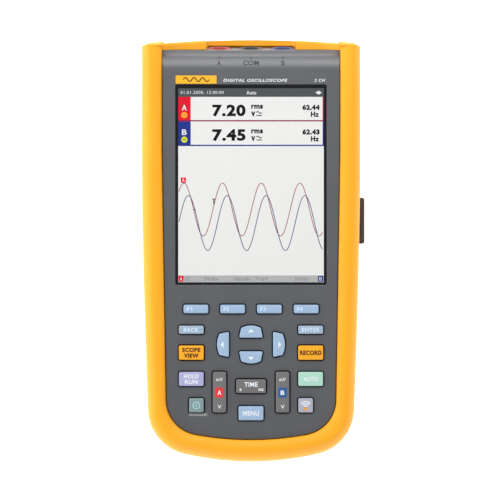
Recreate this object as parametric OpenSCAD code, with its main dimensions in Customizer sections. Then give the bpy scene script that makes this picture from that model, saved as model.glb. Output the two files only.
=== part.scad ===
// Handheld two-channel oscilloscope in a rubber holster, lying on its back.
// X is to the right of the screen, Y towards the input sockets, Z out of the screen.
// The origin is the middle of the flat back.

/* [Holster] */
// Length from the foot to the input end
length = 259; // [256:0.5:262]
// Width across the widest part
width = 132; // [131:0.5:133]
// Height of the rim above the back
depth = 55.5; // [55:0.1:57]
// Thickness of the back wall under the instrument
back_wall = 5.6; // [5.4:0.1:5.8]
// Height of the wall across the input end
bar_top = 41; // [38:0.5:42]
// Height of that wall in front of the sockets
sill_top = 24; // [20:0.5:26]

/* [Case] */
// Width of the case inside the holster
case_width = 114.4; // [113:0.2:115]
// Height of the front face above the back
face_z = 52.5; // [52:0.1:53]
// Thickness of the case walls
wall = 2.5; // [2:0.1:3]
// Height at which the two halves of the case meet
split_z = 27; // [26.5:0.1:27.2]
// Thickness of the gasket between the halves
gasket = 1; // [0.6:0.1:1]

/* [Screen] */
// Width of the window
window_w = 89.5; // [88:0.1:90.5]
// Height of the window
window_h = 118.6; // [117:0.1:119.5]
// Middle of the window along the case
window_y = 39.3; // [39:0.1:39.6]

/* [Keys] */
// Play round each key in the front face
key_play = 0.55; // [0.4:0.05:0.7]
// Top of the keys above the back
key_top = 54.3; // [54:0.1:55]
// Radius of the key corners
key_corner = 0.9; // [0.5:0.1:1.2]

/* [Sockets] */
// Distance between neighbouring input sockets
jack_pitch = 19.05; // [18.5:0.05:19.5]
// Radius of the coloured collars
jack_r = 7.1; // [6.8:0.05:7.2]
// Radius of the bore for a test plug
plug_r = 2.02; // [2:0.01:2.05]

/* [Tilt stand] */
// Width of the stand
stand_w = 75.2; // [70:0.2:75.6]
// Distance from the hinge to the free end
stand_l = 97; // [90:1:98]

/* [Hidden] */
$fn = 48;

// Outlines: half width above and below, corner and foot radii, head height, head corner, head arch
// radius, then how the sides bend: 1 is a straight taper, 2 is a long arc
side_top = 60;
holster_shape = [width / 2, width / 2 - 3.7, 28, -length / 2, 178, length / 2, 6, 595, 1.6];
case_shape = [case_width / 2, case_width / 2 - 2, 22, -116.2, 131, 123.4, 3, 9000, 1];
face_shape = [52.7, 50.3, 21, -112, 182, 121, 1, 9000, 1];

// Heights of the stack inside the case
case_z = back_wall + 0.4;
floor_z = case_z + 3.2;
front_z = split_z + gasket;
shoulder_z = 48;
face_wall_z = face_z - wall;
board_z = 26.5;
board_t = 1.6;
board_top = board_z + board_t;
keypad_z = 42;
mat_z = 45.6;
mat_t = 1.4;
flange_z = 48.4;
face_room = 104;

// Input end: the face rolls over, then falls in a cove to the slanted end wall
roll_start = 107.5;
roll_r = 15.4;
roll_angle = 31.7;
end_top = [119.9, 44.6];
end_low = [123.2, front_z];
post_inner = 53.1;
sill_half = 27;
jack_z = 35.8;
jack_places = [-1, 0, 1];
tail_r = 5.6;
block_front = 94;
block_back = 117.3;

// Battery bay, door and tilt stand in the back
bay = [-52, 8];
bay_half = 28;
door = [-56, 20];
door_half = 31;
door_t = 2.2;
door_screw = [22, 15.5];
stand_window = [-62, 46];
stand_half = 38.6;
hinge_y = 40;
hinge_z = 2.8;
hinge_r = 2.1;
stand_pin_r = 1.5;

// Port cover on the left side
port_y = [33, 77];
port_z = [22, 41];
cover_axis = [-64, 24.2];
cover_pin_r = 0.8;

// Strap bar on the right side
bar_y = [4.3, 32.2];
bar_x = [65.2, 68.7];
bar_z = [21, 33];
pocket_x = 60.2;

case_screw_at = [[50.8, 100], [-50.8, 100], [44, -96], [-44, -96]];
board_screw_at = [[46, 84], [-46, 84], [46, -80], [-46, -80]];

// Keys: name, middle, size
softkey_y = -34.5;
softkeys = [
    ["key_f1", [-32.7, softkey_y], [14.7, 5.05]],
    ["key_f2", [-10.9, softkey_y], [14.7, 5.05]],
    ["key_f3", [10.9, softkey_y], [14.7, 5.05]],
    ["key_f4", [32.7, softkey_y], [14.7, 5.05]]
];
keys = concat(softkeys, [
    ["key_back", [-35.4, -46.8], [14.8, 4.8]],
    ["key_enter", [35.4, -46.8], [14.8, 4.8]],
    ["key_scope", [-35.4, -60.4], [14.8, 8.4]],
    ["key_record", [35.4, -60.4], [14.8, 8.4]],
    ["key_hold", [-35.4, -76], [14.7, 8.3]],
    ["key_auto", [35.4, -76], [14.7, 8.3]],
    ["key_power", [-32.4, -91.6], [8.7, 8.4]],
    ["key_wireless", [32.4, -91.6], [8.7, 8.4]],
    ["key_menu", [0, -96.3], [14.8, 8.3]]
]);
rockers = [
    ["rocker_a", [-18.7, -83.8], [8, 24.1]],
    ["rocker_b", [18.7, -83.8], [8, 24.1]],
    ["rocker_time", [0, -80.3], [17.7, 8.1]]
];
// Arrow keys: name, middle, turn from pointing up, width and height
arrows = [
    ["key_up", [0, -47.9], 0, [13.8, 7.2]],
    ["key_down", [0, -63.2], 180, [13.8, 7.2]],
    ["key_left", [-16.6, -55.5], 90, [14.7, 7.1]],
    ["key_right", [16.6, -55.5], -90, [14.7, 7.1]]
];

function entry(list, name) = [for (k = list) if (k[0] == name) k][0];

function arc(centre, r, from, to, n) =
    [for (i = [0:n]) let (a = from + (to - from) * i / n) centre + r * [cos(a), sin(a)]];

// Right half of an outline from the foot to the head, drawn in by d
function half_outline(s, d) =
    let (
        foot_mid = [0, s[3] + s[4]],
        corner_x = s[1] - s[2],
        corner_y = foot_mid[1] - sqrt(pow(s[4] - s[2], 2) - corner_x * corner_x),
        meet = atan2(corner_y - foot_mid[1], corner_x),
        head_x = s[0] - s[6],
        head_y = s[5] - head_x * head_x / (2 * s[7]) - s[6]
    )
    concat(
        arc(foot_mid, s[4] - d, -89, meet, 5),
        [for (i = [1:8])
            let (a = meet * (1 - i / 8)) [corner_x, corner_y] + (s[2] - d) * [cos(a), sin(a)]],
        [for (i = [1:6]) let (t = i / 6)
            [s[1] - d + (s[0] - s[1]) * (1 - pow(1 - t, s[8])), corner_y + (side_top - corner_y) * t]],
        arc([head_x, head_y], max(s[6] - d, 0.3), 0, 84, 3),
        [for (x = [0.75, 0.5, 0.25, 0.02]) [head_x * x, s[5] - pow(head_x * x, 2) / (2 * s[7]) - d]]
    );

function outline(s, d = 0) =
    let (half = half_outline(s, d), n = len(half))
    concat(half, [for (i = [n - 1:-1:0]) [-half[i][0], half[i][1]]]);

function round_rect(size, r) =
    let (c = size / 2 - [r, r])
    concat(arc(c, r, 0, 90, 4), arc([-c[0], c[1]], r, 90, 180, 4), arc(-c, r, 180, 270, 4),
        arc([c[0], -c[1]], r, 270, 360, 4));

// Outline of an arrow key that points up: narrower and bowed at its outer edge
function arrow_outline(size, grow) =
    let (w = size[0] / 2 + grow, h = size[1] / 2 + grow)
    concat([[-w + 0.7, -h], [w - 0.7, -h], [w, -h + 0.7]],
        [for (i = [0:6]) let (t = 1 - i / 3) [(w - 0.8) * t, h - 1.1 * t * t]],
        [[-w, -h + 0.7]]);

module slab(points, from, to) {
    translate([0, 0, from])
        linear_extrude(to - from)
            polygon(points);
}

// Solid through outlines of the same number of points, each given with its height
module loft(rings) {
    n = len(rings[0][1]);
    top = (len(rings) - 1) * n;
    polyhedron(
        [for (ring = rings, p = ring[1]) [p[0], p[1], ring[0]]],
        concat(
            [[for (i = [0:n - 1]) i], [for (i = [n - 1:-1:0]) top + i]],
            [for (k = [0:len(rings) - 2], i = [0:n - 1]) let (a = k * n + i, b = k * n + (i + 1) % n)
                each [[a, a + n, b + n], [a, b + n, b]]]
        )
    );
}

module block(low, high) {
    translate(low)
        cube(high - low);
}

module along_x(x, y, z, r, h) {
    translate([x, y, z])
        rotate([0, 90, 0])
            cylinder(r = r, h = h);
}

module along_y(x, y, z, r, h) {
    translate([x, y, z])
        rotate([-90, 0, 0])
            cylinder(r = r, h = h);
}

// The same outline with its foot, and a little of its head, leaning in
function leaning(s, by) = [for (i = [0:8]) s[i] + (i == 3 ? by : i == 5 ? -0.3 * by : 0)];

module holster() {
    // height of each outline, how far it is drawn in, and how far its ends lean in
    layers = [[0, 5, 0], [2, 2.2, 0], [7, 0.4, 0], [13, 0, 0], [30, 0, 2], [46, 0.8, 4], [52, 2.6, 4.7],
        [depth, 6, 5.1]];
    color("#f9b233")
        difference() {
            loft([for (l = layers) [l[0], outline(leaning(holster_shape, l[2]), l[1])]]);
            intersection() {
                slab(outline(case_shape, -0.3), back_wall, shoulder_z + 0.4);
                // the wall across the input end follows the slant of the case
                rotate([90, 0, 90])
                    translate([0, 0, -60])
                        linear_extrude(120)
                            polygon([[-130, 0], [140, 0], [140, front_z], end_low + [0.5, 0],
                                end_top + [0.45, 0], [end_top[0] - 0.3, 60], [-130, 60]]);
            }
            slab(outline(face_shape, -0.35), shoulder_z, depth + 1);
            // open input end between the corner posts, with a slanted outer face
            block([-post_inner, 112, bar_top], [post_inner, length, depth + 1]);
            block([-sill_half, 118, sill_top], [sill_half, length, depth]);
            rotate([90, 0, 90])
                translate([0, 0, -post_inner])
                    linear_extrude(2 * post_inner)
                        polygon([[129.6, 12], [126.9, bar_top + 1], [140, bar_top + 1], [140, 12]]);
            // window for the tilt stand, and the bores for its pins
            block([-stand_half, stand_window[0], -1], [stand_half, stand_window[1], back_wall + 1]);
            along_x(-43.3, hinge_y, hinge_z, stand_pin_r, 86.6);
            // window for the port cover, and the bores for its pin
            block([-70, port_y[0], port_z[0]], [-57, port_y[1], port_z[1]]);
            along_y(cover_axis[0], port_y[0] - 2.2, cover_axis[1], cover_pin_r, port_y[1] - port_y[0] + 4.4);
            // pocket behind the strap bar
            block([pocket_x, bar_y[0] - 3.2, bar_z[0] - 9], [70, bar_y[1] + 3.2, bar_z[1] + 9]);
        }
}

// Side view of the input end, for cutting it off both case halves
module end_cut() {
    roll_end = [roll_start + roll_r * sin(roll_angle), face_z - roll_r * (1 - cos(roll_angle))];
    cove = [for (t = [0:0.2:1])
        let (mid = [116.8, 45.9]) (1 - t) * (1 - t) * roll_end + 2 * t * (1 - t) * mid + t * t * end_top];
    roll = [for (i = [0:6])
        let (a = roll_angle * i / 6) [roll_start + roll_r * sin(a), face_z - roll_r * (1 - cos(a))]];
    rotate([90, 0, 90])
        translate([0, 0, -60])
            linear_extrude(120)
                polygon(concat(roll, [for (i = [1:5]) cove[i]],
                    [end_low + [0.05, -0.3], [130, front_z - 0.3], [130, 60], [roll_start, 60]]));
}

module key_holes() {
    low = face_wall_z - 3;
    for (k = concat(keys, rockers))
        translate([k[1][0], k[1][1], 0])
            slab(round_rect(k[2] + 2 * [key_play, key_play], key_corner + key_play), low, face_z + 1);
    for (k = arrows)
        translate([k[1][0], k[1][1], 0])
            rotate([0, 0, k[2]])
                slab(arrow_outline(k[3], key_play), low, face_z + 1);
}

module front_case() {
    color("#5d5e61")
        difference() {
            union() {
                difference() {
                    union() {
                        slab(outline(case_shape), front_z, shoulder_z);
                        slab(outline(face_shape), shoulder_z, face_z);
                    }
                    end_cut();
                    intersection() {
                        union() {
                            slab(outline(case_shape, wall), front_z - 1, shoulder_z - wall);
                            slab(outline(face_shape, wall), shoulder_z - wall - 1, face_wall_z);
                        }
                        block([-60, -130, 0], [60, face_room, 60]);
                    }
                    block([-52, face_room - 1, front_z - 1], [52, block_back + 0.2, jack_z + 6.6]);
                }
                for (p = case_screw_at)
                    translate([p[0], p[1], front_z])
                        cylinder(r = 3.6, h = (p[1] > 0 ? 46.5 : face_wall_z + 0.5) - front_z);
            }
            for (p = case_screw_at)
                translate([p[0], p[1], front_z - 1])
                    cylinder(r = 1.5, h = 9.2);
            // notches for the sockets, open towards the gasket
            for (x = jack_places) {
                along_y(x * jack_pitch, 110, jack_z, jack_r + 0.2, 20);
                translate([x * jack_pitch, 0, 0])
                    block([-jack_r - 0.2, 110, front_z - 1], [jack_r + 0.2, 130, jack_z]);
            }
            // window ledge and the hole behind it
            translate([0, window_y, 0]) {
                slab(round_rect([window_w + 0.4, window_h + 0.4], 1.2), face_z - 1.4, face_z + 1);
                slab(round_rect([window_w - 2, window_h - 2], 1), face_wall_z - 1, face_z);
            }
            key_holes();
            // opening for the ports on the left
            block([-60, port_y[0] + 4.5, front_z - 1], [-50, port_y[1] - 1, front_z + 9.6]);
        }
}

module rear_case() {
    color("#4c4d50")
        difference() {
            union() {
                difference() {
                    slab(outline(case_shape), case_z, split_z);
                    slab(outline(case_shape, wall), floor_z, split_z + 1);
                }
                // walls of the battery bay
                difference() {
                    block([-bay_half - 3.5, bay[0] - 3.5, case_z], [bay_half + 3.5, bay[1] + 3.5, 25]);
                    block([-bay_half - 2, bay[0] - 2, floor_z - 4], [bay_half + 2, bay[1] + 2, 26]);
                }
                for (p = case_screw_at)
                    translate([p[0], p[1], case_z])
                        cylinder(r = 4.2, h = split_z - case_z);
                for (p = board_screw_at)
                    translate([p[0], p[1], case_z])
                        cylinder(r = 3.2, h = board_z - case_z);
                for (x = [-1, 1])
                    translate([x * door_screw[0], door_screw[1], case_z])
                        cylinder(r = 3.2, h = 9);
            }
            block([-door_half - 0.3, door[0] - 0.3, 0], [door_half + 0.3, door[1] + 0.3, case_z + door_t + 0.1]);
            block([-bay_half - 1, bay[0] - 1, 0], [bay_half + 1, bay[1] + 1, floor_z + 1]);
            for (p = case_screw_at)
                translate([p[0], p[1], 0]) {
                    cylinder(r = 1.6, h = 40);
                    cylinder(r = 3.1, h = 8.6);
                }
            for (p = board_screw_at)
                translate([p[0], p[1], 16])
                    cylinder(r = 1.2, h = 20);
            for (x = [-1, 1])
                translate([x * door_screw[0], door_screw[1], 0])
                    cylinder(r = 1.2, h = 14);
        }
}

module case_gasket() {
    color("#2a2a2b")
        difference() {
            slab(outline(case_shape), split_z, front_z);
            slab(outline(case_shape, wall), split_z - 1, front_z + 1);
        }
}

module screen_window() {
    color("#16171a")
        translate([0, window_y, 0])
            slab(round_rect([window_w, window_h], 1), face_z - 1.4, face_z - 0.2);
}

module display_panel() {
    color("#dfe2e0")
        block([-45.6, window_y - 62, 45.2], [45.6, window_y + 62, 49.8]);
}

module display_frame() {
    color("#a9abad")
        difference() {
            block([-46.8, window_y - 63.5, 43.4], [46.8, window_y + 63.5, 45]);
            block([-38, window_y - 52, 43], [38, window_y + 52, 46]);
        }
}

module ribbon_cable() {
    color("#c58a2e")
        block([-12, -19.9, board_top + 0.2], [12, -19.5, 43.2]);
}

// Sheet that fills the lower part of the case, with holes for the case's screw bosses
module keypad_sheet(inset, from, to) {
    difference() {
        intersection() {
            slab(outline(face_shape, inset), from, to);
            block([-60, -130, 0], [60, -26.5, 60]);
        }
        for (p = case_screw_at)
            translate([p[0], p[1], from - 1])
                cylinder(r = 4.2, h = to - from + 2);
    }
}

module keypad_mat() {
    color("#8d9196")
        keypad_sheet(3, mat_z, mat_z + mat_t);
}

module keypad_board() {
    color("#2f6b45")
        keypad_sheet(3.5, keypad_z, keypad_z + board_t);
}

module contact_domes() {
    ends = [for (k = rockers, s = [-1, 1])
        k[1] + s * (k[2][0] > k[2][1] ? [k[2][0] / 2 - 3, 0] : [0, k[2][1] / 2 - 4])];
    middles = concat([for (k = keys) k[1]], [for (k = arrows) k[1]], ends);
    color("#d9c27a")
        for (p = middles)
            translate([p[0], p[1], keypad_z + board_t])
                cylinder(r = 2, h = 0.8);
}

module main_board() {
    color("#2f6b45")
        difference() {
            block([-50, -86, board_z], [50, 92, board_top]);
            for (p = board_screw_at)
                translate([p[0], p[1], board_z - 1])
                    cylinder(r = 1.3, h = 4);
        }
}

module board_components() {
    // chips and connectors: low corner, size
    parts = [
        [[-14, 16], [22, 22, 2.2]], [[14, 20], [12, 14, 1.6]], [[-34, 20], [14, 10, 1.6]],
        [[14, -6], [16, 16, 2.6]], [[-34, -8], [14, 14, 2.8]], [[-8, -8], [14, 10, 1.4]],
        [[-38, -40], [10, 10, 5]], [[-24, -40], [10, 10, 5]], [[-8, -42], [12, 14, 3]]
    ];
    capacitors = [[24, -36], [34, -36], [24, -48], [34, -48]];
    color("#232427") {
        for (p = parts)
            block([p[0][0], p[0][1], board_top], [p[0][0], p[0][1], board_top] + p[1]);
        for (p = capacitors)
            translate([p[0], p[1], board_top])
                cylinder(r = 4, h = 9);
    }
}

module wireless_module() {
    color("#356f8c")
        block([26, 44, board_top], [44, 56, board_top + 3]);
}

module clock_cell() {
    color("#c4c6c8")
        translate([-30, 50, board_top])
            cylinder(r = 10, h = 3.2);
}

module beeper() {
    color("#1f1f20")
        translate([34, -66, board_top])
            difference() {
                cylinder(r = 7, h = 5);
                translate([0, 0, 3])
                    cylinder(r = 1, h = 3);
            }
}

module input_shield() {
    color("#b9bcbf")
        difference() {
            block([-34, 64, board_top + 0.1], [34, 91, 40]);
            block([-33.4, 64.6, board_top - 1], [33.4, 90.4, 39.4]);
        }
}

module input_block() {
    color("#3a3b3e")
        difference() {
            block([-30, block_front, front_z + 0.6], [30, block_back, jack_z + 6.4]);
            for (x = jack_places)
                along_y(x * jack_pitch, block_front - 1, jack_z, tail_r, 30);
        }
}

// Socket on the Y axis: coloured collar with a face parallel to the end wall, and a round tail
module jack(place, shade) {
    lean = 15;
    color(shade)
        translate([place * jack_pitch, 0, jack_z])
            difference() {
                union() {
                    along_y(0, block_back + 0.3, 0, jack_r, 8);
                    along_y(0, 97, 0, tail_r - 0.05, 21);
                }
                translate([0, 122.2, 0])
                    rotate([lean, 0, 0])
                        block([-20, 0, -20], [20, 20, 20]);
                along_y(0, 107, 0, 4.5, 20);
                along_y(0, 99, 0, 2.95, 20);
            }
}

module jack_a() {
    jack(-1, "#c8373a");
}

module jack_com() {
    jack(0, "#1c1c1e");
}

module jack_b() {
    jack(1, "#2c4a94");
}

module jack_contacts() {
    color("#d8c27c")
        for (x = jack_places)
            difference() {
                along_y(x * jack_pitch, 99, jack_z, 2.9, 19.5);
                along_y(x * jack_pitch, 102.5, jack_z, plug_r, 18);
            }
}

module battery_pack() {
    color("#33363b")
        block([-bay_half, bay[0], floor_z + 0.4], [bay_half, bay[1], 25]);
}

module battery_contacts() {
    color("#d8c27c")
        for (x = [-13.5:9:13.5])
            block([x - 1.5, bay[1] + 0.3, 12.4], [x + 1.5, bay[1] + 1.3, board_z - 0.1]);
}

module battery_door() {
    color("#48494c")
        difference() {
            block([-door_half, door[0], case_z], [door_half, door[1], case_z + door_t]);
            for (x = [-1, 1])
                translate([x * door_screw[0], door_screw[1], 0]) {
                    cylinder(r = 1.6, h = 20);
                    cylinder(r = 2.9, h = case_z + 1.2);
                }
        }
}

module screw(r, head_r, head_z, head_h, tip_z) {
    translate([0, 0, head_z])
        cylinder(r = head_r, h = head_h);
    translate([0, 0, min(head_z, tip_z)])
        cylinder(r = r, h = abs(tip_z - head_z));
}

module battery_door_screws() {
    color("#b5b7ba")
        for (x = [-1, 1])
            translate([x * door_screw[0], door_screw[1], 0])
                screw(1.15, 2.6, case_z + 0.2, 1, 13.5);
}

module case_screws() {
    color("#b5b7ba")
        for (p = case_screw_at)
            translate([p[0], p[1], 0])
                screw(1.45, 2.8, case_z + 0.5, 2, front_z + 8);
}

module board_screws() {
    color("#b5b7ba")
        for (p = board_screw_at)
            translate([p[0], p[1], 0])
                screw(1.15, 2.4, board_top, 1.5, 18);
}

module usb_ports() {
    color("#b9bcbf")
        for (p = [[38, 13.4, 6.8], [54.5, 8.4, 3.4]])
            difference() {
                block([-56.8, p[0], board_top + 0.1], [-45, p[0] + p[1], board_top + 0.1 + p[2]]);
                block([-60, p[0] + 0.6, board_top + 0.7], [-46, p[0] + p[1] - 0.6, board_top - 0.5 + p[2]]);
            }
}

module power_inlet() {
    color("#1f1f20")
        difference() {
            block([-56.8, 65.8, board_top + 0.1], [-44, 75.2, board_top + 9.1]);
            along_x(-58, 70.5, board_top + 4.6, 2.75, 10.5);
        }
    color("#c4c6c8")
        along_x(-55.5, 70.5, board_top + 4.6, 1.05, 9);
}

module port_cover() {
    color("#e9a228")
        difference() {
            union() {
                block([cover_axis[0] - 1.4, port_y[0] + 0.6, cover_axis[1]],
                    [cover_axis[0] + 1, port_y[1] - 0.6, port_z[1] - 0.5]);
                along_y(cover_axis[0], port_y[0] + 0.6, cover_axis[1], 1.5, port_y[1] - port_y[0] - 1.2);
            }
            along_y(cover_axis[0], port_y[0] - 1, cover_axis[1], cover_pin_r + 0.06, 60);
        }
}

module port_cover_pin() {
    color("#b5b7ba")
        along_y(cover_axis[0], port_y[0] - 2, cover_axis[1], cover_pin_r, port_y[1] - port_y[0] + 4);
}

module tilt_stand() {
    foot = hinge_y - stand_l;
    color("#3b3c3f")
        difference() {
            union() {
                block([-stand_w / 2, foot, 0.7], [stand_w / 2, hinge_y, 3.9]);
                along_x(-stand_w / 2, hinge_y, hinge_z, hinge_r, stand_w);
            }
            block([-stand_w / 2 + 15, foot + 18, 0], [stand_w / 2 - 15, hinge_y - 14, 5]);
            for (x = [-1, 1])
                along_x(x * (stand_w / 2 - 4) - 5, hinge_y, hinge_z, stand_pin_r + 0.06, 10);
        }
}

module stand_pins() {
    color("#b5b7ba")
        for (x = [-43.2, 31.2])
            along_x(x, hinge_y, hinge_z, stand_pin_r, 12);
}

module strap_bar() {
    color("#4b4846") {
        block([bar_x[0], bar_y[0], bar_z[0]], [bar_x[1], bar_y[1], bar_z[1]]);
        for (y = [bar_y[0], bar_y[1] - 4])
            block([pocket_x, y, bar_z[0]], [bar_x[0] + 1, y + 4, bar_z[1]]);
    }
}

module name_strip() {
    color("#f2b12f")
        block([-44.7, 99.15, face_z], [-20.4, 104.05, face_z + 0.4]);
}

// Push key: cap through the face and a flange under it that keeps it in
module push_key(name, shade) {
    k = entry(keys, name);
    color(shade)
        translate([k[1][0], k[1][1], 0]) {
            slab(round_rect(k[2], key_corner), flange_z + 0.5, key_top);
            slab(round_rect(k[2] + [2.4, 2.4], 1.5), flange_z, flange_z + 1);
        }
}

module arrow_key(name) {
    k = entry(arrows, name);
    color("#a5c2d6")
        translate([k[1][0], k[1][1], 0])
            rotate([0, 0, k[2]]) {
                slab(arrow_outline(k[3], 0), flange_z + 0.5, key_top);
                slab(arrow_outline(k[3], 1.2), flange_z, flange_z + 1);
            }
}

module rocker(name) {
    k = entry(rockers, name);
    color("#7b7a7b")
        translate([k[1][0], k[1][1], 0]) {
            slab(round_rect(k[2], key_corner), flange_z + 0.1, key_top);
            slab(round_rect(k[2] + [2.4, 2.4], 1.5), flange_z - 0.4, flange_z + 0.6);
        }
}

holster();
front_case();
rear_case();
case_gasket();
screen_window();
display_panel();
display_frame();
ribbon_cable();
keypad_mat();
keypad_board();
contact_domes();
main_board();
board_components();
wireless_module();
clock_cell();
beeper();
input_shield();
input_block();
jack_a();
jack_com();
jack_b();
jack_contacts();
battery_pack();
battery_contacts();
battery_door();
battery_door_screws();
usb_ports();
power_inlet();
port_cover();
port_cover_pin();
tilt_stand();
stand_pins();
strap_bar();
case_screws();
board_screws();
name_strip();
push_key("key_f1", "#9db8d2");  // key_f1
push_key("key_f2", "#9db8d2");  // key_f2
push_key("key_f3", "#9db8d2");  // key_f3
push_key("key_f4", "#9db8d2");  // key_f4
push_key("key_back", "#a3b6c9");  // key_back
push_key("key_enter", "#a3b6c9");  // key_enter
arrow_key("key_up");  // key_up
arrow_key("key_down");  // key_down
arrow_key("key_left");  // key_left
arrow_key("key_right");  // key_right
push_key("key_scope", "#efae26");  // key_scope
push_key("key_record", "#efae26");  // key_record
push_key("key_hold", "#aeb0d2");  // key_hold
push_key("key_auto", "#afd1c4");  // key_auto
push_key("key_power", "#8ca1a3");  // key_power
push_key("key_wireless", "#adb0c0");  // key_wireless
push_key("key_menu", "#9ab4cc");  // key_menu
rocker("rocker_a");  // rocker_a
rocker("rocker_b");  // rocker_b
rocker("rocker_time");  // rocker_time
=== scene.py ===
import math
import bmesh
import bpy
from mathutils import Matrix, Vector
from mathutils.bvhtree import BVHTree


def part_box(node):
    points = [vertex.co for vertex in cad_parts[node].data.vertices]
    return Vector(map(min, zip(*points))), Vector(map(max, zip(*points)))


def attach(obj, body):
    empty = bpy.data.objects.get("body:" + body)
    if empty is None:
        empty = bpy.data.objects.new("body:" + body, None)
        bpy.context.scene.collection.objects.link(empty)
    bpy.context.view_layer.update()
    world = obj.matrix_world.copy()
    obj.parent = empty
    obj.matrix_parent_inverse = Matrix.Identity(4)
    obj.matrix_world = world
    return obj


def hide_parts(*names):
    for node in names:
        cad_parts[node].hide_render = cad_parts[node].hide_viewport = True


# Handheld oscilloscope in a rubber holster
# Sizes are in millimetres, except those of floor, lamps and camera

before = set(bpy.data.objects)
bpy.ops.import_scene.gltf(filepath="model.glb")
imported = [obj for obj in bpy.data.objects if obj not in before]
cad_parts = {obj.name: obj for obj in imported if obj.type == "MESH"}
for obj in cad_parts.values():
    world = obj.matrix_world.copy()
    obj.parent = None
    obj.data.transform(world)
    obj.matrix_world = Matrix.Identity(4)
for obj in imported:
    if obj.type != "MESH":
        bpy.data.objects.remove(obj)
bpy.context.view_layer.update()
mm = 0.001
scene = bpy.context.scene
print("frame loaded:", len(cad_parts), "nodes")


def boxMm(node):
    low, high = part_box(node)
    return low / mm, high / mm


# Shader building

def tone(red, green, blue):  # display values, 0 to 255, as the linear colour that a shader takes
    linear = []
    for value in (red / 255, green / 255, blue / 255):
        linear.append(value / 12.92 if value <= 0.04045 else ((value + 0.055) / 1.055) ** 2.4)
    return (*linear, 1.0)


class Signal:  # a node's output, with arithmetic that adds Math nodes
    def __init__(self, recipe, socket):
        self.recipe = recipe
        self.socket = socket

    def __add__(self, other):
        return self.recipe.maths("ADD", self, other)

    def __sub__(self, other):
        return self.recipe.maths("SUBTRACT", self, other)

    def __rsub__(self, other):
        return self.recipe.maths("SUBTRACT", other, self)

    def __mul__(self, other):
        return self.recipe.maths("MULTIPLY", self, other)

    __radd__ = __add__
    __rmul__ = __mul__


class Recipe:  # the shader of one material or of the surroundings, and the nodes that feed it
    def __init__(self, owner, shader="Principled BSDF"):
        owner.use_nodes = True
        self.owner = owner
        self.tree = owner.node_tree
        self.shader = self.tree.nodes[shader]

    def add(self, kind, settings=None, sockets=None, output=0):
        node = self.tree.nodes.new("ShaderNode" + kind)
        for name, value in (settings or {}).items():
            if name == "stops":
                self.setStops(node.color_ramp, value)
            else:
                setattr(node, name, value)
        for key, value in (sockets or {}).items():
            self.feed(node.inputs[key], value)
        return Signal(self, node.outputs[output])

    def setStops(self, ramp, stops):
        while len(ramp.elements) < len(stops):
            ramp.elements.new(1.0)
        for element, (place, colour) in zip(ramp.elements, stops):
            element.position = place
            element.color = colour

    def feed(self, socket, value):
        if isinstance(value, Signal):
            self.tree.links.new(value.socket, socket)
        else:
            socket.default_value = value

    def maths(self, operation, first, second):
        return self.add("Math", {"operation": operation}, {0: first, 1: second})

    def mix(self, amount, first, second):
        return self.add("Mix", {"data_type": "RGBA"}, {0: amount, 6: first, 7: second}, output=2)

    def place(self):  # object coordinates, in metres
        return self.add("TexCoord", output=3)

    def noise(self, scale, detail, roughness=0.55):
        sockets = {"Vector": self.place(), "Scale": scale, "Detail": detail, "Roughness": roughness}
        return self.add("TexNoise", None, sockets)

    def bump(self, height, depth):
        return self.add("Bump", None, {"Height": height, "Distance": depth, "Strength": 1.0})

    def finish(self, **values):
        for name, value in values.items():
            self.feed(self.shader.inputs[name.replace("_", " ")], value)
        return self.owner


def shaded(colour, share):
    return tuple(min(1.0, channel * share) for channel in colour[:3]) + (1.0,)


# Moulded plastic or rubber: a fine spark-eroded grain, faint cloudy tone, and a little unevenness in gloss.
# Grain is the size of one grain and depth how deep it is, cloud how far the tone wanders either way
def moulded(name, colour, roughness, grain=0.45, depth=0.012, cloud=0.05, shine=0.5):
    recipe = Recipe(bpy.data.materials.new(name))
    patches = recipe.noise(55, 4)
    grains = recipe.noise(1000 / grain, 2, 0.7)
    darker = shaded(colour, 1 - 2 * cloud)
    surface = recipe.mix(patches, darker, shaded(colour, 1 + cloud))
    surface = recipe.mix(grains * 0.25, surface, darker)
    gloss = (patches - 0.5) * 0.12 + (grains - 0.5) * 0.1 + roughness
    return recipe.finish(Base_Color=surface, Roughness=gloss, Specular_IOR_Level=shine,
                         Normal=recipe.bump(grains, depth * mm))


# Printed or lit layer that is seen through the clear window
def displayLayer(name, colour, glow=0.0):
    recipe = Recipe(bpy.data.materials.new(name))
    flecks = recipe.noise(900, 1)
    surface = recipe.mix(flecks * 0.05, colour, shaded(colour, 0.85))
    return recipe.finish(Base_Color=surface, Roughness=0.45, Specular_IOR_Level=0.05, Coat_Weight=0.5,
                         Coat_Roughness=0.03, Emission_Color=surface, Emission_Strength=glow)


def ink(name, colour):
    recipe = Recipe(bpy.data.materials.new(name))
    worn = recipe.noise(1400, 2)
    surface = recipe.mix(worn * 0.12, colour, shaded(colour, 0.8))
    return recipe.finish(Base_Color=surface, Roughness=worn * 0.1 + 0.55, Specular_IOR_Level=0.35)


# Metal with fine brushed lines along one axis
def brushedMetal(name, colour, roughness, along):
    recipe = Recipe(bpy.data.materials.new(name))
    stretch = {"x": (40, 1800, 1800), "y": (1800, 40, 1800), "z": (1800, 1800, 40)}[along]
    lines = recipe.add("VectorMath", {"operation": "MULTIPLY"}, {0: recipe.place(), 1: stretch})
    streaks = recipe.add("TexNoise", None, {"Vector": lines, "Scale": 1.0, "Detail": 3.0})
    surface = recipe.mix(streaks, shaded(colour, 0.78), colour)
    return recipe.finish(Base_Color=surface, Roughness=streaks * 0.2 + (roughness - 0.1), Metallic=1.0,
                         Normal=recipe.bump(streaks, 0.004 * mm))


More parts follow.
